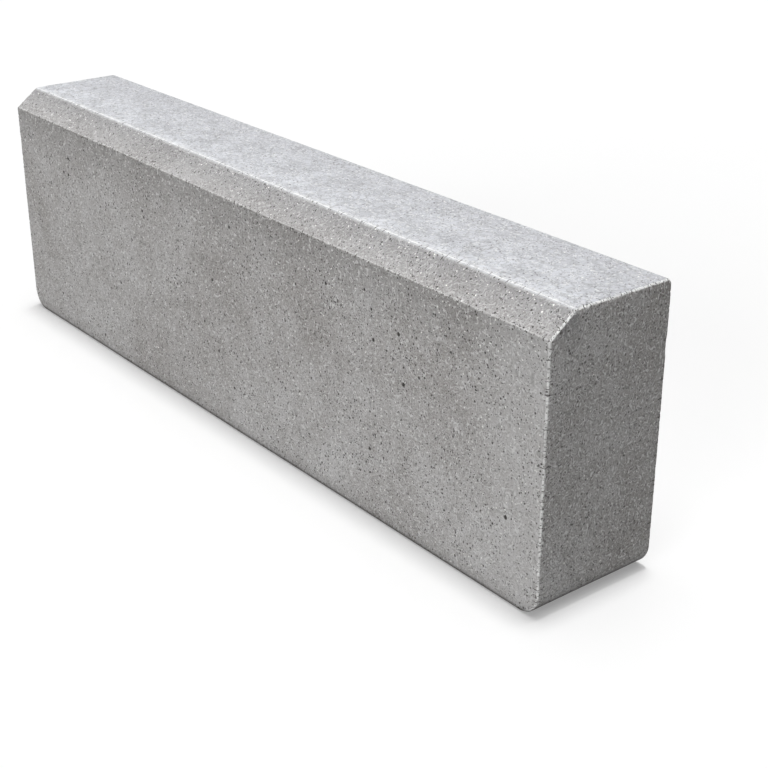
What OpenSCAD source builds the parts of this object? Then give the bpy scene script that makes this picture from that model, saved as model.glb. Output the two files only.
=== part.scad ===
// Concrete kerb stone: one pressed block with a splayed edge towards the road.
// X runs along the road, -Y faces the road, +Y faces the footway, and Z = 0 is the bed.

/* [Stone] */
// Length along the road
stone_length = 1000; // [300:5:1500]
// Width from the road face to the back
stone_width = 150; // [100:1:250]
// Height from the bed to the top
stone_height = 300; // [150:1:400]

/* [Splay] */
// How far the splay reaches back over the top
splay_back = 30; // [20:1:60]
// How far the splay reaches down the road face
splay_drop = 22.5; // [20:0.5:80]

/* [Arrises] */
// Radius of the edge between the splay and the top
splay_top_r = 7.5; // [1:0.5:12]
// Radius of the edge between the splay and the road face
splay_foot_r = 2; // [1:0.5:12]
// Radius of the back edge of the top
back_edge_r = 8; // [1:0.5:20]
// Radius of the arris round each end and along the bed
arris_r = 3; // [1:0.5:8]
// Radius of the heel, where the bed turns up into each end
heel_r = 25; // [10:1:60]

/* [Hidden] */
$fn = 96;

// The stone's section, as [y, z] corners from the foot of the road face, counterclockwise.
road_y = -stone_width / 2;
back_y = stone_width / 2;
section = [
    [road_y, 0],
    [back_y, 0],
    [back_y, stone_height],
    [road_y + splay_back, stone_height],
    [road_y, stone_height - splay_drop],
];
section_r = [arris_r, arris_r, back_edge_r, splay_top_r, splay_foot_r];

// Side i of the section runs from corner i to the next one: 0 is the bed, 1 the back, 2 the top,
// 3 the splay and 4 the road face.
above_bed = [1 : 4];

// A depth that reaches through the stone in every direction.
right_through = stone_width + stone_height;

function unit(v) = v / norm(v);

function neighbour(corners, i, step) = corners[(i + step + len(corners)) % len(corners)];

// Directions from corner i to the corners before and after it.
function arms(corners, i) = [for (step = [-1, 1]) unit(neighbour(corners, i, step) - corners[i])];

function half_angle(corners, i) = let (a = arms(corners, i)) acos(a[0] * a[1]) / 2;

// The two points where a fillet of radius r leaves the sides at corner i.
function fillet_ends(corners, i, r) =
    [for (arm = arms(corners, i)) corners[i] + arm * r / tan(half_angle(corners, i))];

function fillet_centre(corners, i, r) =
    let (a = arms(corners, i)) corners[i] + unit(a[0] + a[1]) * r / sin(half_angle(corners, i));

// A convex outline whose corners are true arcs.
module rounded_outline(corners, radii) {
    polygon([for (i = [0 : len(corners) - 1]) each fillet_ends(corners, i, radii[i])]);
    for (i = [0 : len(corners) - 1])
        translate(fillet_centre(corners, i, radii[i])) circle(radii[i]);
}

module rounded_rectangle(low, high, r) {
    rounded_outline([low, [high.x, low.y], high, [low.x, high.y]], [r, r, r, r]);
}

// The section carried along the whole length.
module long_prism() {
    rotate([90, 0, 90])
        linear_extrude(stone_length, center = true)
            rounded_outline(section, section_r);
}

// All that lies behind side i, with the side's arris rounded at both ends of the stone.
module behind_side(i) {
    along = neighbour(section, i, 1) - section[i];
    translate([0, section[i].x, section[i].y])
        rotate([atan2(-along.x, along.y), 0, 0])
            linear_extrude(2 * right_through, center = true)
                rounded_rectangle([-stone_length / 2, -right_through], [stone_length / 2, 0], arris_r);
}

// The room that one heel takes at the +X end.
module heel_room() {
    translate([stone_length / 2 - heel_r, -right_through / 2, -heel_r])
        cube([2 * heel_r, right_through, 2 * heel_r]);
}

// A quarter turn between the bed and the +X end, with the arris carried round it.
module heel() {
    translate([stone_length / 2 - heel_r, 0, heel_r])
        rotate([-90, 0, 0])
            rotate_extrude(angle = 90)
                intersection() {
                    rounded_rectangle([-heel_r, road_y], [heel_r, back_y], arris_r);
                    translate([0, road_y]) square([heel_r, stone_width]);
                }
}

module at_both_ends() {
    for (side = [0, 1]) mirror([side, 0, 0]) children();
}

module kerb_stone() {
    color("#9c9b99") {
        difference() {
            intersection() {
                long_prism();
                intersection_for(i = above_bed) behind_side(i);
            }
            at_both_ends() heel_room();
        }
        at_both_ends() heel();
    }
}

kerb_stone();
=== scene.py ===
"""Dresses the concrete kerb stone: one pressed block with air holes, sand and worn arrises, on its floor."""

import math

import bpy
import numpy as np
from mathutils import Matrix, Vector


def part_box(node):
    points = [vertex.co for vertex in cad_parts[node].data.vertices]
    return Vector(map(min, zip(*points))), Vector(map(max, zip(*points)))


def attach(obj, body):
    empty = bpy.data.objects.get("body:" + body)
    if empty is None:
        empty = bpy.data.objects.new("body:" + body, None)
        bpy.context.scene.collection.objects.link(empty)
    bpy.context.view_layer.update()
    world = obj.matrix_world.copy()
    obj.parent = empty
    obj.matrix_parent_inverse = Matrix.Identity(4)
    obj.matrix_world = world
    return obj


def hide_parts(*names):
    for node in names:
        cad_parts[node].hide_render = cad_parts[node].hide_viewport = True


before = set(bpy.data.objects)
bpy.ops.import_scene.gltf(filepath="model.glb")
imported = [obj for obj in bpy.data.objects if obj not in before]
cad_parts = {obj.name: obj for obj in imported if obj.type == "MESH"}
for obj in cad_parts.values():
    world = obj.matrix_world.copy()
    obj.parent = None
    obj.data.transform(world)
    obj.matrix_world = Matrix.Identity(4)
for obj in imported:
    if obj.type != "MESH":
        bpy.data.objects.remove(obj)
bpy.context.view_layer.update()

MM = 0.001

# Sizes of the stone, in millimetres
STONE = "kerb_stone"
LOW, HIGH = (np.array(corner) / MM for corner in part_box(STONE))
LENGTH, WIDTH, HEIGHT = HIGH - LOW
SPLAY_BACK = 30.0
SPLAY_DROP = 22.5
SPLAY_TOP_R = 7.5
SPLAY_FOOT_R = 2.0
BACK_EDGE_R = 8.0
ARRIS_R = 3.0
HEEL_R = 25.0
SPLAY_RUN = math.hypot(SPLAY_BACK, SPLAY_DROP)
SPLAY_FOOT_Z = HEIGHT - SPLAY_DROP
CREST_TURN = math.atan2(SPLAY_DROP, SPLAY_BACK)
FOOT_TURN = math.pi / 2 - CREST_TURN

# Grid over the stone: cells of 32 steps, or 16 mm, halved down to one step where there is detail
STEP_MM = 0.5
COARSE = 32
SPLAY_STEPS = 2 * COARSE
STEPS = COARSE * np.round(np.array([LENGTH, WIDTH, HEIGHT]) / (COARSE * STEP_MM)).astype(int)

# How far a cell reaches from its middle, just past its corners, as a share of its size
CELL_REACH = 0.75

# Depth in millimetres of the core that points slide towards, and how often the way is halved
CORE_DEPTH = 1.2 * HEEL_R
HALVINGS = 24

# Larger air holes, in millimetres, with the power that makes large ones rare
PIT_COUNT = 140
PIT_R = (0.9, 2.6)
PIT_RARITY = 2.5
PIT_DEPTH = 0.9
PIT_CLEAR = 9.0

# Nicks, in millimetres: share of the depth, what the rounding takes, and spacing, half width and reach
NICK_DEPTH = 1.2
END_NICKS = (1.0, 0.3 * ARRIS_R, (2.5, 11), (0.4, 0.8), (1.0, 4.0))
FOOT_NICKS = (0.6, 0.6, (7, 18), (0.5, 0.9), (1.0, 2.2))
CREST_NICKS = (0.7, 0.6, (10, 26), (0.5, 0.9), (1.2, 3.2))

# How far the nicks swerve, and over what length, in millimetres
NICK_SWERVE = 0.9
NICK_SWERVE_SIZE = 3.0

# Spalls along the end arrises, in millimetres, and the noise levels at which one starts and is full
SPALL_SIZE = 18.0
SPALL_DEPTH = 0.9
SPALL_REACH = 4.0
SPALL_LEVELS = (0.3, 0.8)

# Slow waves of the mould, in millimetres
WAVE_SIZE = 110.0
WAVE_DEPTH = 0.35

# Seeds of the relief
SCATTER_SEED = 7
SWERVE_SEED = 1
SPALL_SEED = 2
WAVE_SEED = 3

# Painted shade in the recesses: the share of a pit's depth that is all dark, and how dark a nick is
PIT_PAINTED_SHADE = 0.4
NICK_PAINTED_SHADE = 0.4

# Painted shade towards the bed, from none to full: downward slope, then heights in millimetres of a line and
# of a haze
UNDER_SLOPE = (0.4, 0.65)
BED_LINE = (4.8, 3.0)
BED_HAZE = (16.0, 4.0)
BED_HAZE_SHARE = 0.25

# Width in millimetres over which the splay's finish begins at its arrises
SPLAY_BLEND = 0.6

# What the mesh tells the concrete about each vertex
FINISH = ("from_end", "from_crest", "from_foot", "end_run", "painted_pit_shade", "painted_bed_shade", "splay_face")

# Noises in the concrete: size in millimetres, detail and roughness, with the grain coarser than real, to show
CONCRETE_NOISE = {
    "cloud": (140, 1, 0.5),
    "cluster": (60, 2, 0.5),
    "lime": (30, 3, 0.7),
    "blotch": (34, 3, 0.7),
    "mottle": (4.5, 1, 0.6),
    "grain": (1.7, 1, 0.7),
    "thread": (6.5, 0, 0.5),
    "pale_patch": (4.2, 0, 0.5),
    "dark_patch": (4.6, 0, 0.5),
    "bead": (7, 0, 0.5),
    "wobble": (3, 0, 0.5),
}
NOISE_MEAN = 0.5

# Tone of the paste: its middle, what each noise adds, and the painted light and shade that the ends get at
# the road side and at the back
TONE_MIDDLE = 0.575
TONE_WEIGHTS = {"cloud": 0.78, "lime": 0.85, "mottle": 0.4, "grain": 2.0}
END_PAINTED_SHADING = (0.1, -0.2)

# Dots in the paste: cell and largest radius in millimetres, and how strongly they gather in clusters
DOTS = {
    "holes": (3.3, 1.2, 0.35),
    "fine_holes": (2.1, 0.72, 0.2),
    "sand": (4.3, 1.05, 0.0),
}

# Power that makes large dots rare, weights that mix a lot for each, and the step between the families in mm
DOT_RARITY = 2.0
LOT_WEIGHTS = (13.0, 17.0, 19.0)
FAMILY_STEP = np.array([17.0, 31.0, 53.0])

# Threads in the paste: the noise that patches them, and the contour values where a line starts and is full
THREADS = {
    "pale": ("pale_patch", 0.34, 0.42),
    "dark": ("dark_patch", 0.16, 0.08),
}
THREAD_TURNS = 4.0
SPLAY_FADE = -0.25

# Cracks across the arrises: swerve and half widths in millimetres, and the power that makes long ones rare
CRACK_SWERVE = 2.0
CRACK_HALF_WIDTH = (0.2, 0.65)
CRACK_RARITY = 4.0

# Scales of the top's skin and the noise that warps them, in millimetres
SCALE_SIZE = 13.0
SCALE_WARP = 9.0

# Weight of the top's finish, and how far inside its plane a face still counts as that face, in millimetres
TOP_WEIGHT = 0.5
FACE_DEPTH = 1.0

# Depth of a small hole against the rise of the tone, and height of that relief in millimetres
HOLE_RELIEF = -1.5
RELIEF_MM = 0.6

# Floor: half its side in metres, and the share of its white that it gives itself
FLOOR_HALF = 15.0
FLOOR_OWN_WHITE = 0.25

# Lamps: azimuth and elevation in degrees, level, and spread in degrees
LAMPS = {
    "overhead_key": (105, 87, 0.46, 8),
    "overhead_soft": (105, 87, 0.45, 60),
    "road_side": (285, 10, 0.57, 40),
    "back_fill": (135, 1, 0.38, 2),
}
WORLD_LIGHT = 0.03


def ramp(value, start, full):
    """0 at start and 1 at full, straight between them and level beyond: (value - start) / (full - start)."""
    return np.clip((value - start) / (full - start), 0, 1)


def lattice_noise(points, size, seed):
    """Value noise from -1 to 1: random numbers on a cubic lattice of the given cell size, eased by
    s * s * (3 - 2 * s) along each axis and blended between the eight corners of the cell."""
    period = 64
    table = np.random.default_rng(seed).uniform(-1, 1, (period, period, period))
    cell = np.floor(points / size).astype(int)
    share = points / size - cell
    share = share * share * (3 - 2 * share)
    value = np.zeros(len(points))
    for corner in np.ndindex(2, 2, 2):
        weight = np.where(corner, share, 1 - share).prod(axis=1)
        i, j, k = ((cell + corner) % period).T
        value += weight * table[i, j, k]
    return value


def round_max(a, b, r):
    """Two half spaces met by a round edge: the larger of two heights, or inside the edge's reach the
    length of (a + r, b + r) less r, which is an arc that touches both faces."""
    both = (a > -r) & (b > -r)
    return np.where(both, np.hypot(a + r, b + r) - r, np.maximum(a, b))


def oblique(r, turn):
    """The reach that gives round_max an arc of radius r where the faces turn by less than a right angle."""
    return r * math.tan(turn / 2) * math.sin(turn)


def faces_of_stone(points):
    """Height in mm above each face of the stone, negative inside: road face, splay, top, back, and the bed
    with both ends, which the heels join into one form."""
    x, y, z = points.T
    road = -y - WIDTH / 2
    top = z - HEIGHT
    splay = ((road + SPLAY_BACK) * SPLAY_DROP + top * SPLAY_BACK) / SPLAY_RUN
    back = y - WIDTH / 2
    bed_and_ends = round_max(-z, np.abs(x) - LENGTH / 2, HEEL_R)
    return road, splay, top, back, bed_and_ends


def stone_level(points):
    """Zero on the stone's surface and negative inside: the faces met one after another with their radii."""
    road, splay, top, back, bed_and_ends = faces_of_stone(points)
    level = round_max(road, splay, oblique(SPLAY_FOOT_R, FOOT_TURN))
    level = round_max(level, top, oblique(SPLAY_TOP_R, CREST_TURN))
    level = round_max(level, back, BACK_EDGE_R)
    return round_max(level, bed_and_ends, ARRIS_R)


def from_arris(a, b, turn=math.pi / 2):
    """Distance in mm, over either face, from the sharp arris of two faces that turn by the given angle."""
    return -np.minimum(a, b) / math.sin(turn)


def from_end_arris(points):
    """Distance in mm from the arrises round the two ends, which run on round the heels to the bed."""
    road, splay, top, back, bed_and_ends = faces_of_stone(points)
    distance = from_arris(np.maximum.reduce([road, splay, top, back]), bed_and_ends)
    return np.where(np.abs(points[:, 0]) > LENGTH / 2 - HEEL_R, distance, LENGTH)


def sharp_block(steps):
    """Grid steps (along, across, up) to points of the block with sharp edges: each cross section is ruled
    between the bed and a rail that climbs the splay and runs over the top."""
    along, across, up = (steps / STEPS).T
    road_y = -WIDTH / 2
    stations = (0, SPLAY_STEPS, STEPS[1])
    rail_y = np.interp(steps[:, 1], stations, (road_y, road_y + SPLAY_BACK, -road_y))
    rail_z = np.interp(steps[:, 1], stations, (SPLAY_FOOT_Z, HEIGHT, HEIGHT))
    x = (along - 0.5) * LENGTH
    y = (1 - up) * (across - 0.5) * WIDTH + up * rail_y
    return np.stack([x, y, up * rail_z], axis=1)


def rounded_block(steps):
    """Grid steps to points of the rounded stone: each point of the sharp block slides towards an inner core
    until stone_level is zero, found by halving the way."""
    sharp = sharp_block(steps)
    inward = np.clip(sharp, LOW + CORE_DEPTH, HIGH - CORE_DEPTH) - sharp
    outside = np.zeros(len(sharp))
    inside = np.ones(len(sharp))
    for _ in range(HALVINGS):
        middle = (outside + inside) / 2
        is_inside = stone_level(sharp + inward * middle[:, None]) < 0
        inside = np.where(is_inside, middle, inside)
        outside = np.where(is_inside, outside, middle)
    return sharp + inward * outside[:, None]


def outward(points):
    """Unit normals of the rounded stone: the slope of stone_level along each axis, over a tenth of a mm."""
    reach = 0.05 * np.eye(3)
    slope = np.stack([stone_level(points + d) - stone_level(points - d) for d in reach], axis=1)
    return slope / np.linalg.norm(slope, axis=1, keepdims=True)


def outline_run(points):
    """Distance in mm round the section: up the road face, over the splay and the top, and down the back."""
    _, y, z = points.T
    top_starts = SPLAY_FOOT_Z + SPLAY_RUN
    back_starts = top_starts + WIDTH - SPLAY_BACK
    from_road = y + WIDTH / 2
    runs = np.stack(
        [
            z,
            SPLAY_FOOT_Z + from_road * SPLAY_RUN / SPLAY_BACK,
            top_starts + from_road - SPLAY_BACK,
            back_starts + HEIGHT - z,
        ]
    )
    side = np.argmax(faces_of_stone(points)[:4], axis=0)
    return runs[side, np.arange(len(points))]


def nicks(run, distance, kind, rng):
    """Small notches across an arris, at random steps of its run: 1 - (offset / half width) squared along it,
    times 1 - distance / reach away from it, times their share of the full depth."""
    share, rounding, spacing, half_width, reach = kind
    count = int(np.ptp(run) / spacing[0]) + 2
    middles = run.min() + np.cumsum(rng.uniform(*spacing, count))
    half_widths = rng.uniform(*half_width, count)
    reaches = rng.uniform(*reach, count)
    after = np.clip(np.searchsorted(middles, run), 1, count - 1)
    nearest = np.where(run - middles[after - 1] < middles[after] - run, after - 1, after)
    offset = (run - middles[nearest]) / half_widths[nearest]
    away = (distance - rounding) / reaches[nearest]
    return share * np.clip(1 - offset**2, 0, 1) * np.clip(1 - away, 0, 1)


def scattered_pits(rng):
    """Centres and radii of the larger air holes, on the four upright sides and clear of the arrises: places
    drawn evenly over the sides, and radii by a power of an even draw."""
    margin = PIT_CLEAR / STEP_MM

    # Axis of each side, and which end of it
    sides = ((0, 0), (0, 1), (1, 0), (1, 1))
    areas = np.array([np.delete(STEPS, axis).prod() for axis, _ in sides], float)
    chosen = rng.choice(len(sides), PIT_COUNT, p=areas / areas.sum())
    steps = rng.uniform(margin, STEPS - margin, (PIT_COUNT, 3))
    for number, (axis, end) in enumerate(sides):
        steps[chosen == number, axis] = end * STEPS[axis]
    share = rng.uniform(0, 1, PIT_COUNT) ** PIT_RARITY
    return sharp_block(steps), PIT_R[0] + (PIT_R[1] - PIT_R[0]) * share


def pit_bowls(points, centres, radii):
    """Share of a pit's depth at each point: 1 - (distance / radius) squared, inside the pit."""
    share = np.zeros(len(points))
    for centre, radius in zip(centres, radii):
        near = np.flatnonzero(np.abs(points[:, 0] - centre[0]) < radius)
        apart = ((points[near] - centre) ** 2).sum(axis=1) / radius**2
        share[near] = np.maximum(share[near], 1 - apart)
    return share


def wants_split(points, size, pits):
    """Cells to halve, from their middles and their size in mm: those that reach a round edge, a heel or a pit
    and are still coarser than it needs."""
    road, splay, top, back, _ = faces_of_stone(points)
    bed = -points[:, 2]
    end = np.abs(points[:, 0]) - LENGTH / 2
    sides = np.maximum.reduce([road, splay, top, back])

    # Distance from each edge, how far its rounding reaches and the finest cell that it needs, in mm
    edges = (
        (from_end_arris(points), 0.5 * ARRIS_R, 0.5),
        (from_arris(road, splay, FOOT_TURN), 2.0, 1.0),
        (from_arris(splay, top, CREST_TURN), 2.5, 1.0),
        (from_arris(top, back), 0.7 * BACK_EDGE_R, 2.0),
        (from_arris(sides, bed), ARRIS_R, 2.0),
        (from_arris(bed, end), HEEL_R, 4.0),
    )
    centres, radii = pits
    split = pit_bowls(points, centres, radii + CELL_REACH * size) > 0
    for distance, reach, finest in edges:
        if size > finest:
            split |= distance < reach + CELL_REACH * size
    return split


def ring(size):
    """Steps round a square cell, counterclockwise from its low corner."""
    ahead = np.arange(size)
    start = np.zeros(size, int)
    full = start + size
    first = np.r_[ahead, full, full - ahead, start]
    second = np.r_[start, ahead, full, full - ahead]
    return np.stack([first, second], axis=1)


def graded_cells(across, end, pits):
    """Square cells over the side of the grid that spans two axes, as (size, low corners in steps), halved
    where wants_split says."""
    corners = np.full((np.prod(STEPS[across] // COARSE), 3), end)
    grid = np.meshgrid(*(np.arange(0, STEPS[k], COARSE) for k in across), indexing="ij")
    corners[:, across] = np.stack(grid, axis=-1).reshape(-1, 2)
    size = COARSE
    while size > 1:
        middles = corners.astype(float)
        middles[:, across] += size / 2
        split = wants_split(sharp_block(middles), size * STEP_MM, pits)
        yield size, corners[~split]
        size //= 2
        quarters = np.zeros((4, 3), int)
        quarters[:, across] = size * np.array([(0, 0), (1, 0), (1, 1), (0, 1)])
        corners = (corners[split][:, None] + quarters).reshape(-1, 3)
    yield size, corners


def stone_grid(pits):
    """All six sides of the grid as one closed mesh: the grid steps of each vertex, the vertices of each face
    in a row, and how many each face has. A coarse cell takes in the corners that finer neighbours put on its
    edge."""
    rings = []
    corner_numbers = []
    for axis in range(3):
        across = [(axis + 1) % 3, (axis + 2) % 3]
        for end in (0, STEPS[axis]):
            for size, corners in graded_cells(across, end, pits):
                offsets = np.zeros((4 * size, 3), int)
                offsets[:, across] = ring(size)
                around = np.ravel_multi_index(np.moveaxis(corners[:, None] + offsets, -1, 0), STEPS + 1)
                corner_numbers.append(around[:, ::size].ravel())
                rings.append(around if end else around[:, ::-1])
    numbers = np.unique(np.concatenate(corner_numbers))
    kept = [np.isin(around, numbers) for around in rings]
    face_sizes = np.concatenate([keep.sum(axis=1) for keep in kept])
    face_corners = np.concatenate([around[keep] for around, keep in zip(rings, kept)])
    steps = np.stack(np.unravel_index(numbers, STEPS + 1), axis=1)
    return steps, np.searchsorted(numbers, face_corners), face_sizes


def kerb_stone():
    """The rounded stone with its relief pressed in along the normals: slow waves, pits, and nicks and spalls
    on the arrises."""
    rng = np.random.default_rng(SCATTER_SEED)
    pits = scattered_pits(rng)
    steps, face_corners, face_sizes = stone_grid(pits)
    points = rounded_block(steps)
    normals = outward(points)
    road, splay, top, _, _ = faces_of_stone(points)
    end_distance = from_end_arris(points)
    foot_distance = from_arris(road, splay, FOOT_TURN)
    crest_distance = from_arris(splay, top, CREST_TURN)
    end_run = outline_run(points) + np.where(points[:, 0] > 0, 2 * LENGTH, 0)

    # How deep each point is pressed in
    swerve = NICK_SWERVE * lattice_noise(points, NICK_SWERVE_SIZE, SWERVE_SEED)
    long_run = points[:, 0] + swerve
    end_nicks = nicks(end_run + swerve, end_distance, END_NICKS, rng)
    foot_nicks = nicks(long_run, foot_distance, FOOT_NICKS, rng)
    crest_nicks = nicks(long_run, crest_distance, CREST_NICKS, rng)
    notched = np.maximum.reduce([end_nicks, foot_nicks, crest_nicks])
    spalled = ramp(lattice_noise(points, SPALL_SIZE, SPALL_SEED), *SPALL_LEVELS)
    spalled = spalled * ramp(end_distance, SPALL_REACH, 0)
    bowls = pit_bowls(points, *pits)
    waves = 0.5 + 0.5 * lattice_noise(points, WAVE_SIZE, WAVE_SEED)
    depth = NICK_DEPTH * notched + SPALL_DEPTH * spalled
    depth = depth + PIT_DEPTH * np.sqrt(bowls) + WAVE_DEPTH * waves

    # What the concrete is told
    height = points[:, 2]
    # Painted shade along the bed: on faces that look down, under the heels, and in a line and a fade just
    # above the bed
    painted_bed_line = np.maximum(ramp(-normals[:, 2], *UNDER_SLOPE), ramp(height, *BED_LINE))
    finish = {
        "from_end": end_distance,
        "from_crest": crest_distance,
        "from_foot": foot_distance,
        "end_run": end_run,
        # Painted shade in the pits and nicks
        "painted_pit_shade": np.maximum(ramp(bowls, 0, PIT_PAINTED_SHADE), NICK_PAINTED_SHADE * notched),
        "painted_bed_shade": np.maximum(painted_bed_line, BED_HAZE_SHARE * ramp(height, *BED_HAZE)),
        "splay_face": ramp(splay - np.maximum(road, top), 0, SPLAY_BLEND),
    }

    points = points - normals * depth[:, None]
    mesh = bpy.data.meshes.new("kerb_stone_skin")
    mesh.vertices.add(len(points))
    mesh.vertices.foreach_set("co", (points * MM).ravel())
    mesh.loops.add(len(face_corners))
    mesh.loops.foreach_set("vertex_index", face_corners.astype(np.int32))
    mesh.polygons.add(len(face_sizes))
    mesh.polygons.foreach_set("loop_start", (np.cumsum(face_sizes) - face_sizes).astype(np.int32))
    mesh.update(calc_edges=True)
    mesh.shade_smooth()
    for name, values in finish.items():
        mesh.attributes.new(name, "FLOAT", "POINT").data.foreach_set("value", values)
    stone = bpy.data.objects.new("kerb_stone_skin", mesh)
    bpy.context.scene.collection.objects.link(stone)
    return stone


def linear(hex_colour):
    """An sRGB hex colour as linear red, green, blue and alpha."""
    srgb = np.array([int(hex_colour[i : i + 2], 16) for i in (1, 3, 5)]) / 255
    return (*np.where(srgb <= 0.04045, srgb / 12.92, ((srgb + 0.055) / 1.055) ** 2.4), 1.0)


def add(tree, kind, inputs=None, **settings):
    """Adds a node with its settings, and gives each named or numbered input a value or a link."""
    node = tree.nodes.new(kind)
    for name, value in settings.items():
        setattr(node, name, value)
    for name, value in (inputs or {}).items():
        if isinstance(value, bpy.types.NodeSocket):
            tree.links.new(value, node.inputs[name])
        else:
            node.inputs[name].default_value = value
    return node


def new_material(name):
    """An empty node material and its tree."""
    material = bpy.data.materials.new(name)
    material.use_nodes = True
    material.node_tree.nodes.clear()
    return material, material.node_tree


def paste_tone(tree, noise, y, ends):
    """Tone of the cement paste from 0, dark, to 1, pale: a middle tone, onto which the ends get painted light
    at the road side and painted shade towards the back, plus each noise less its mean, times its weight:
    broad clouds, lime, mottle and sand grain."""
    # The ends are painted paler at the road side and darker towards the back, as light and shade
    end_shading = {"Value": y, "From Min": -WIDTH / 2, "From Max": WIDTH / 2}
    end_shading |= {"To Min": END_PAINTED_SHADING[0], "To Max": END_PAINTED_SHADING[1]}
    end_shading = add(tree, "ShaderNodeMapRange", end_shading).outputs[0]
    tone = {0: end_shading, 1: ends, 2: TONE_MIDDLE}
    tone = add(tree, "ShaderNodeMath", tone, operation="MULTIPLY_ADD").outputs[0]
    for name, weight in TONE_WEIGHTS.items():
        centred = {0: noise[name], 1: NOISE_MEAN}
        centred = add(tree, "ShaderNodeMath", centred, operation="SUBTRACT").outputs[0]
        tone = {0: centred, 1: weight, 2: tone}
        tone = add(tree, "ShaderNodeMath", tone, operation="MULTIPLY_ADD").outputs[0]
    return tone


def paste_dots(tree, mm, cluster):
    """Dots in the paste, one to a Voronoi cell: air holes, finer ones between them, and pale sand grains.
    Each has a radius by lot, larger where its family gathers, and is full up to 0.8 of it and gone at
    1.1."""
    dots = {}
    for number, (name, (cell, radius, gathered)) in enumerate(DOTS.items()):
        moved = {0: mm, 1: number * FAMILY_STEP}
        moved = add(tree, "ShaderNodeVectorMath", moved, operation="ADD").outputs[0]
        points = add(tree, "ShaderNodeTexVoronoi", {"Vector": moved, "Scale": 1 / cell})

        # The lot mixes the cell's three colour values, because each alone follows the point's place there
        lot = {0: points.outputs["Color"], 1: LOT_WEIGHTS}
        lot = add(tree, "ShaderNodeVectorMath", lot, operation="DOT_PRODUCT").outputs["Value"]
        lot = add(tree, "ShaderNodeMath", {0: lot}, operation="FRACT").outputs[0]
        lot = add(tree, "ShaderNodeMath", {0: lot, 1: DOT_RARITY}, operation="POWER").outputs[0]
        spread = {"Value": cluster, "From Min": 0.3, "From Max": 0.7}
        spread |= {"To Min": 1 - gathered / 2, "To Max": 1 + gathered / 2}
        spread = add(tree, "ShaderNodeMapRange", spread).outputs[0]
        reach = add(tree, "ShaderNodeMath", {0: lot, 1: spread}, operation="MULTIPLY").outputs[0]
        reach = add(tree, "ShaderNodeMath", {0: reach, 1: radius / cell}, operation="MULTIPLY").outputs[0]
        share = {0: points.outputs["Distance"], 1: reach}
        share = add(tree, "ShaderNodeMath", share, operation="DIVIDE").outputs[0]
        dot = {"Value": share, "From Min": 0.8, "From Max": 1.1, "To Min": 1.0, "To Max": 0.0}
        dots[name] = add(tree, "ShaderNodeMapRange", dot).outputs[0]
    return dots


def paste_threads(tree, noise, clear):
    """Threads of lime and of open paste, along the contour lines of a slow noise that is folded several
    times, pale and dark in turn and in patches. They are coarser than real ones, which are too fine to
    show."""
    turns = {0: noise["thread"], 1: THREAD_TURNS}
    turns = add(tree, "ShaderNodeMath", turns, operation="MULTIPLY").outputs[0]
    contour = add(tree, "ShaderNodeMath", {0: turns, 1: 0.5}, operation="PINGPONG").outputs[0]
    threads = {}
    for name, (patch, start, full) in THREADS.items():
        line = {"Value": contour, "From Min": start, "From Max": full}
        line = add(tree, "ShaderNodeMapRange", line).outputs[0]
        inside = {"Value": noise[patch], "From Min": 0.48, "From Max": 0.54}
        inside = add(tree, "ShaderNodeMapRange", inside).outputs[0]
        line = add(tree, "ShaderNodeMath", {0: line, 1: inside}, operation="MULTIPLY").outputs[0]
        threads[name] = add(tree, "ShaderNodeMath", {0: line, 1: clear}, operation="MULTIPLY").outputs[0]
    return threads


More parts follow.
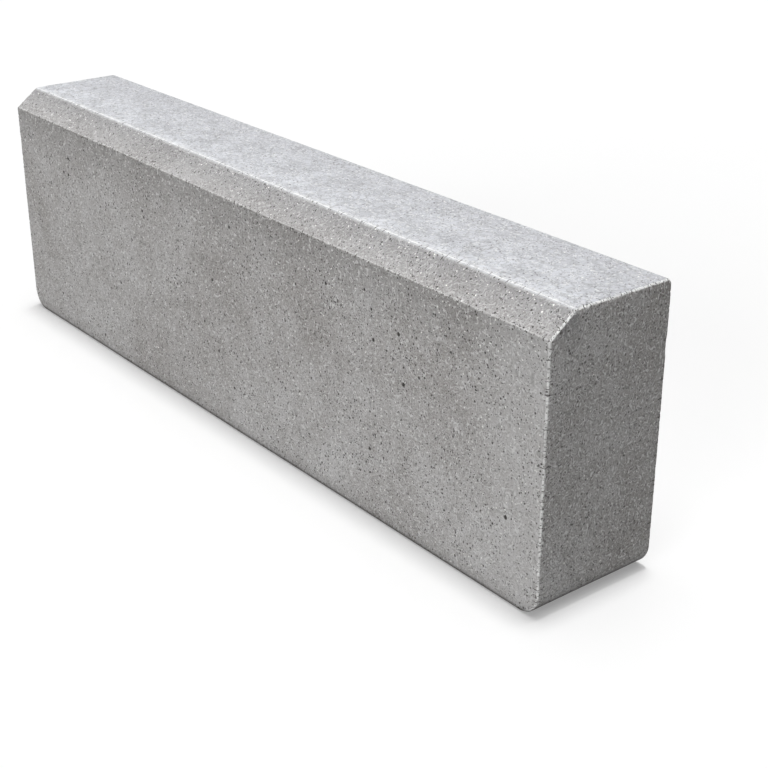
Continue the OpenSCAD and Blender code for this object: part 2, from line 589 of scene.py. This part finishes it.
def worn_and_highlit_arrises(tree, noise, given, x):
    """Arrises worn pale with a painted highlight on them, in beads, and the cracks across them. An arris is
    palest up to
    0.7 of its worn width and plain past the whole of it. A crack lies on the point of each 1D Voronoi cell
    along the arris, and few of them reach past the worn width."""
    # The foot of the splay is worn pale, with a painted highlight, on the splay's side alone
    splay_foot = add(tree, "ShaderNodeMapRange", {"Value": given["splay_face"], "To Max": 0.4}).outputs[0]
    pale = 0.0
    cracks = 0.0

    # Each arris and its run, then spacing and reach of cracks and worn width in mm, and how pale it gets
    for distance, run, spacing, longest, width, most in (
        (given["from_end"], given["end_run"], 6.5, 8.0, 2.2, 1.0),
        (given["from_crest"], x, 22.0, 3.0, 1.4, 0.82),
        (given["from_crest"], x, 60.0, 0.0, 5.0, 0.2),
        (given["from_foot"], x, 9.0, 3.5, 1.8, splay_foot),
    ):
        # The pale band is partly real wear and partly a painted highlight on the rounded arris
        worn = {"Value": distance, "From Min": 0.7 * width, "From Max": width, "To Min": most, "To Max": 0.0}
        worn = add(tree, "ShaderNodeMapRange", worn).outputs[0]
        pale = add(tree, "ShaderNodeMath", {0: pale, 1: worn}, operation="MAXIMUM").outputs[0]
        swerved = {0: noise["wobble"], 1: CRACK_SWERVE, 2: run}
        swerved = add(tree, "ShaderNodeMath", swerved, operation="MULTIPLY_ADD").outputs[0]
        seeds = {"W": swerved, "Scale": 1 / spacing}
        seeds = add(tree, "ShaderNodeTexVoronoi", seeds, voronoi_dimensions="1D")
        length, breadth, _ = add(tree, "ShaderNodeSeparateColor", {0: seeds.outputs["Color"]}).outputs
        length = add(tree, "ShaderNodeMath", {0: length, 1: CRACK_RARITY}, operation="POWER").outputs[0]
        reach = {0: length, 1: longest, 2: 0.6 * width}
        reach = add(tree, "ShaderNodeMath", reach, operation="MULTIPLY_ADD").outputs[0]
        near = add(tree, "ShaderNodeMath", {0: distance, 1: reach}, operation="LESS_THAN").outputs[0]
        thinnest, widest = (half / spacing for half in CRACK_HALF_WIDTH)
        breadth = {"Value": breadth, "To Min": thinnest, "To Max": widest}
        breadth = add(tree, "ShaderNodeMapRange", breadth).outputs[0]
        across = {0: seeds.outputs["Distance"], 1: breadth}
        across = add(tree, "ShaderNodeMath", across, operation="LESS_THAN").outputs[0]
        crack = add(tree, "ShaderNodeMath", {0: near, 1: across}, operation="MULTIPLY").outputs[0]
        cracks = add(tree, "ShaderNodeMath", {0: cracks, 1: crack}, operation="MAXIMUM").outputs[0]
    beads = {"Value": noise["bead"], "From Min": 0.3, "From Max": 0.6, "To Min": 0.55, "To Max": 1.0}
    beads = add(tree, "ShaderNodeMapRange", beads).outputs[0]
    pale = add(tree, "ShaderNodeMath", {0: pale, 1: beads}, operation="MULTIPLY").outputs[0]
    return pale, cracks


def top_skin_and_painted_light(tree, mm, noise, given, y, topside):
    """Skin of fine cement on the top: its blotches, a painted shade towards the back, a painted band of light
    behind the crest, and the dark rims of its scales, which are Voronoi cells warped by a noise."""
    moved = {0: mm, 1: len(DOTS) * FAMILY_STEP}
    moved = add(tree, "ShaderNodeVectorMath", moved, operation="ADD").outputs[0]
    warp = {"Vector": moved, "Scale": 1 / SCALE_WARP, "Detail": 0}
    warp = add(tree, "ShaderNodeTexNoise", warp).outputs["Color"]
    warped = {0: warp, 1: (SCALE_WARP, SCALE_WARP, SCALE_WARP), 2: moved}
    warped = add(tree, "ShaderNodeVectorMath", warped, operation="MULTIPLY_ADD").outputs[0]
    scales = {"Vector": warped, "Scale": 1 / SCALE_SIZE}
    scales = add(tree, "ShaderNodeTexVoronoi", scales, feature="DISTANCE_TO_EDGE").outputs[0]
    finishes = []

    # What each finish follows, from where to where, and its share at both
    for value, low, high, at_low, at_high in (
        (noise["blotch"], 0.38, 0.62, 0.0, 1.45),
        # Painted shade, darker towards the back of the top
        (y, SPLAY_BACK - WIDTH / 2, WIDTH / 2, 0.0, 1.85),
        # Painted light in a band behind the crest
        (given["from_crest"], 4.0, 24.0, 0.25, 0.0),
        (scales, 0.0, 0.13, 0.7, 0.0),
    ):
        share = {"Value": value, "From Min": low, "From Max": high, "To Min": at_low, "To Max": at_high}
        share = add(tree, "ShaderNodeMapRange", share).outputs[0]
        share = add(tree, "ShaderNodeMath", {0: share, 1: topside}, operation="MULTIPLY").outputs[0]
        finishes.append(share)
    return finishes


def painted_face_shading(tree, given, x, y, z):
    """Painted light and shade on the faces: painted shade on the road face in the 60 mm under the splay,
    painted light there in the last 120 mm before the +X end, and painted shade darker up the splay."""
    road = add(tree, "ShaderNodeMath", {0: y, 1: FACE_DEPTH - WIDTH / 2}, operation="LESS_THAN").outputs[0]
    finishes = []

    # Where each painted light or shade is, what it follows, from where to where, and its share at both
    for where, value, low, high, at_low, at_high in (
        (road, z, SPLAY_FOOT_Z - 60, SPLAY_FOOT_Z, 0.0, 0.42),
        (road, x, LENGTH / 2 - 120, LENGTH / 2, 0.0, 0.5),
        (given["splay_face"], z, SPLAY_FOOT_Z, HEIGHT, 0.26, 0.73),
    ):
        share = {"Value": value, "From Min": low, "From Max": high, "To Min": at_low, "To Max": at_high}
        share = add(tree, "ShaderNodeMapRange", share).outputs[0]
        share = add(tree, "ShaderNodeMath", {0: share, 1: where}, operation="MULTIPLY").outputs[0]
        finishes.append(share)
    return finishes


def pressed_concrete():
    """Concrete, pressed dry into a mould under vibration and stripped at once. To the eye it is matt grey
    paste, mottled, with pale sand in it, pricked all over by small air holes, and white where its arrises
    are worn and where a highlight is painted on them."""
    material, tree = new_material("pressed_concrete")
    place = add(tree, "ShaderNodeTexCoord").outputs["Object"]
    mm = add(tree, "ShaderNodeVectorMath", {0: place, "Scale": 1 / MM}, operation="SCALE").outputs[0]
    x, y, z = add(tree, "ShaderNodeSeparateXYZ", {0: mm}).outputs
    given = {name: add(tree, "ShaderNodeAttribute", attribute_name=name).outputs["Fac"] for name in FINISH}
    noise = {}
    for name, (size, detail, roughness) in CONCRETE_NOISE.items():
        settings = {"Vector": mm, "Scale": 1 / size, "Detail": detail, "Roughness": roughness}
        noise[name] = add(tree, "ShaderNodeTexNoise", settings).outputs["Fac"]

    # The two ends and the top, clear of their arrises
    out = add(tree, "ShaderNodeMath", {0: x}, operation="ABSOLUTE").outputs[0]
    ends = {"Value": out, "From Min": LENGTH / 2 - ARRIS_R, "From Max": LENGTH / 2 - FACE_DEPTH}
    ends = add(tree, "ShaderNodeMapRange", ends).outputs[0]
    topside = {"Value": z, "From Min": HEIGHT - 2.0, "From Max": HEIGHT - 0.6, "To Max": TOP_WEIGHT}
    topside = add(tree, "ShaderNodeMapRange", topside).outputs[0]

    # Threads are clearest on the ends and faintest on the splay
    clear = add(tree, "ShaderNodeMapRange", {"Value": ends, "To Min": 0.7, "To Max": 1.0}).outputs[0]
    clear = {0: given["splay_face"], 1: SPLAY_FADE, 2: clear}
    clear = add(tree, "ShaderNodeMath", clear, operation="MULTIPLY_ADD").outputs[0]

    tone = paste_tone(tree, noise, y, ends)
    dots = paste_dots(tree, mm, noise["cluster"])
    threads = paste_threads(tree, noise, clear)
    pale, cracks = worn_and_highlit_arrises(tree, noise, given, x)
    blotch, painted_back_shade, painted_crest_light, rims = top_skin_and_painted_light(tree, mm, noise, given, y, topside)
    painted_shade_under_splay, painted_light_by_end, splay = painted_face_shading(tree, given, x, y, z)

    # Small holes are less open on the ends, and partly closed by the skin on the top
    holes = {0: dots["holes"], 1: dots["fine_holes"]}
    holes = add(tree, "ShaderNodeMath", holes, operation="MAXIMUM").outputs[0]
    open_share = add(tree, "ShaderNodeMapRange", {"Value": ends, "To Min": 0.9, "To Max": 0.72}).outputs[0]
    skinned = {"Value": topside, "From Max": TOP_WEIGHT, "To Min": 1.0, "To Max": 0.65}
    skinned = add(tree, "ShaderNodeMapRange", skinned).outputs[0]
    for share in (open_share, skinned):
        holes = add(tree, "ShaderNodeMath", {0: holes, 1: share}, operation="MULTIPLY").outputs[0]

    # Everything laid over the paste, in order: where, how strongly and in which colour
    colour = {"Factor": tone, 6: linear("#96918d"), 7: linear("#d6d5d5")}
    colour = add(tree, "ShaderNodeMix", colour, data_type="RGBA").outputs[2]
    for share, most, hex_colour in (
        # Painted shade under the splay and painted light near the +X end on the road face, and painted shade
        # on the splay
        (painted_shade_under_splay, 1.0, "#7c7a78"),
        (painted_light_by_end, 1.0, "#d6d5d5"),
        (splay, 1.0, "#8c8c8e"),
        # The top painted paler and bluer: partly its cement skin, partly painted light from above
        (topside, 1.55, "#e8ebf2"),
        (blotch, 1.0, "#b4b5ba"),
        # Painted shade towards the back of the top, and painted light behind the crest
        (painted_back_shade, 1.0, "#c4c5ca"),
        (painted_crest_light, 1.0, "#f6f7fa"),
        (rims, 1.0, "#8d8d90"),
        (dots["sand"], 1.0, "#fcfcf9"),
        (threads["pale"], 0.93, "#e9e9e8"),
        (threads["dark"], 0.42, "#6b6967"),
        # Worn arrises, with a painted highlight on them
        (pale, 1.0, "#fefefd"),
        (cracks, 0.85, "#4a4743"),
        (holes, 1.0, "#3c3833"),
        # Painted shade in the pits and nicks
        (given["painted_pit_shade"], 0.95, "#393632"),
        # Painted shade along the bed and under the heels
        (given["painted_bed_shade"], 0.92, "#393633"),
    ):
        factor = {0: share, 1: most}
        factor = add(tree, "ShaderNodeMath", factor, operation="MULTIPLY", use_clamp=True).outputs[0]
        colour = {"Factor": factor, 6: colour, 7: linear(hex_colour)}
        colour = add(tree, "ShaderNodeMix", colour, data_type="RGBA").outputs[2]

    # Relief too fine for the mesh
    relief = {0: holes, 1: HOLE_RELIEF, 2: tone}
    relief = add(tree, "ShaderNodeMath", relief, operation="MULTIPLY_ADD").outputs[0]
    bump = {"Strength": 0.7, "Distance": RELIEF_MM * MM, "Height": relief}
    bump = add(tree, "ShaderNodeBump", bump).outputs[0]
    shader = add(tree, "ShaderNodeBsdfPrincipled", {"Base Color": colour, "Roughness": 0.92, "Normal": bump})
    add(tree, "ShaderNodeOutputMaterial", {"Surface": shader.outputs[0]})
    return material


def seen_directly(tree):
    """1 for rays that show the surface to the camera, straight or by gloss or glass, and 0 for its light."""
    path = add(tree, "ShaderNodeLightPath")
    seen = path.outputs["Is Camera Ray"]
    for kind in ("Is Glossy Ray", "Is Transmission Ray"):
        seen = add(tree, "ShaderNodeMath", {0: seen, 1: path.outputs[kind]}, operation="MAXIMUM").outputs[0]
    return seen


def pale_floor():
    """Matt white studio floor: seen, it is part lit and part its own white, so that its shadow stays pale.
    The light that it throws back on the stone is greyer."""
    material, tree = new_material("pale_floor")
    seen = seen_directly(tree)
    own_white = add(tree, "ShaderNodeMath", {0: seen, 1: FLOOR_OWN_WHITE}, operation="MULTIPLY").outputs[0]
    colour = {"Factor": seen, 6: linear("#8e8e8e"), 7: linear("#fcfcfc")}
    colour = add(tree, "ShaderNodeMix", colour, data_type="RGBA").outputs[2]
    lit = add(tree, "ShaderNodeBsdfDiffuse", {"Color": colour}).outputs[0]
    white = add(tree, "ShaderNodeEmission", {"Color": (1, 1, 1, 1), "Strength": 1.0}).outputs[0]
    shader = add(tree, "ShaderNodeMixShader", {0: own_white, 1: lit, 2: white})
    add(tree, "ShaderNodeOutputMaterial", {"Surface": shader.outputs[0]})
    return material


def floor():
    """A square at bed level, wide enough to fill every view."""
    corners = FLOOR_HALF * np.array([(-1, -1, 0), (1, -1, 0), (1, 1, 0), (-1, 1, 0)])
    mesh = bpy.data.meshes.new("floor")
    mesh.from_pydata(corners.tolist(), [], [(0, 1, 2, 3)])
    mesh.materials.append(pale_floor())
    plane = bpy.data.objects.new("floor", mesh)
    bpy.context.scene.collection.objects.link(plane)


def sun(name, azimuth, elevation, level, spread):
    """A far lamp: azimuth from +X towards +Y and elevation in degrees. Level 1 shows white as white."""
    data = bpy.data.lights.new(name, "SUN")
    data.energy = level * math.pi
    data.angle = math.radians(spread)
    a, e = math.radians(azimuth), math.radians(elevation)
    towards = Vector((math.cos(a) * math.cos(e), math.sin(a) * math.cos(e), math.sin(e)))
    lamp = bpy.data.objects.new(name, data)
    lamp.rotation_mode = "QUATERNION"
    lamp.rotation_quaternion = towards.to_track_quat("Z", "Y")
    bpy.context.scene.collection.objects.link(lamp)


def lighting():
    """Two lamps from nearly overhead, one crisp and one soft, a low soft one from the road side, one level
    with the floor for the back and the far end, and a dim world that the camera sees white."""
    for name, place in LAMPS.items():
        sun(name, *place)
    world = bpy.data.worlds.new("studio")
    bpy.context.scene.world = world
    world.use_nodes = True
    tree = world.node_tree
    tree.nodes.clear()
    strength = {"Value": seen_directly(tree), "To Min": WORLD_LIGHT, "To Max": 1.0}
    strength = add(tree, "ShaderNodeMapRange", strength).outputs[0]
    background = add(tree, "ShaderNodeBackground", {"Color": (1, 1, 1, 1), "Strength": strength})
    add(tree, "ShaderNodeOutputWorld", {"Surface": background.outputs[0]})


def camera():
    """The photograph's view, fitted to the stone's corners: the road face and the +X end, with no shift."""
    azimuth = math.radians(51.64)
    elevation = math.radians(24.72)
    target = Vector((0.1818, 0.0, 0.1024))
    distance = 1.586
    back = Vector(
        (
            math.sin(azimuth) * math.cos(elevation),
            -math.cos(azimuth) * math.cos(elevation),
            math.sin(elevation),
        )
    )
    data = bpy.data.cameras.new("camera")
    data.sensor_width = 36.0
    data.lens = 69.9
    data.clip_end = 100.0
    view = bpy.data.objects.new("camera", data)
    view.location = target + back * distance
    view.rotation_mode = "QUATERNION"
    view.rotation_quaternion = back.to_track_quat("Z", "Y")
    bpy.context.scene.collection.objects.link(view)
    bpy.context.scene.camera = view


bpy.context.scene.view_settings.view_transform = "Standard"
camera()
lighting()
floor()
skin = kerb_stone()
skin.data.materials.append(pressed_concrete())
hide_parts(STONE)
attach(skin, "root")
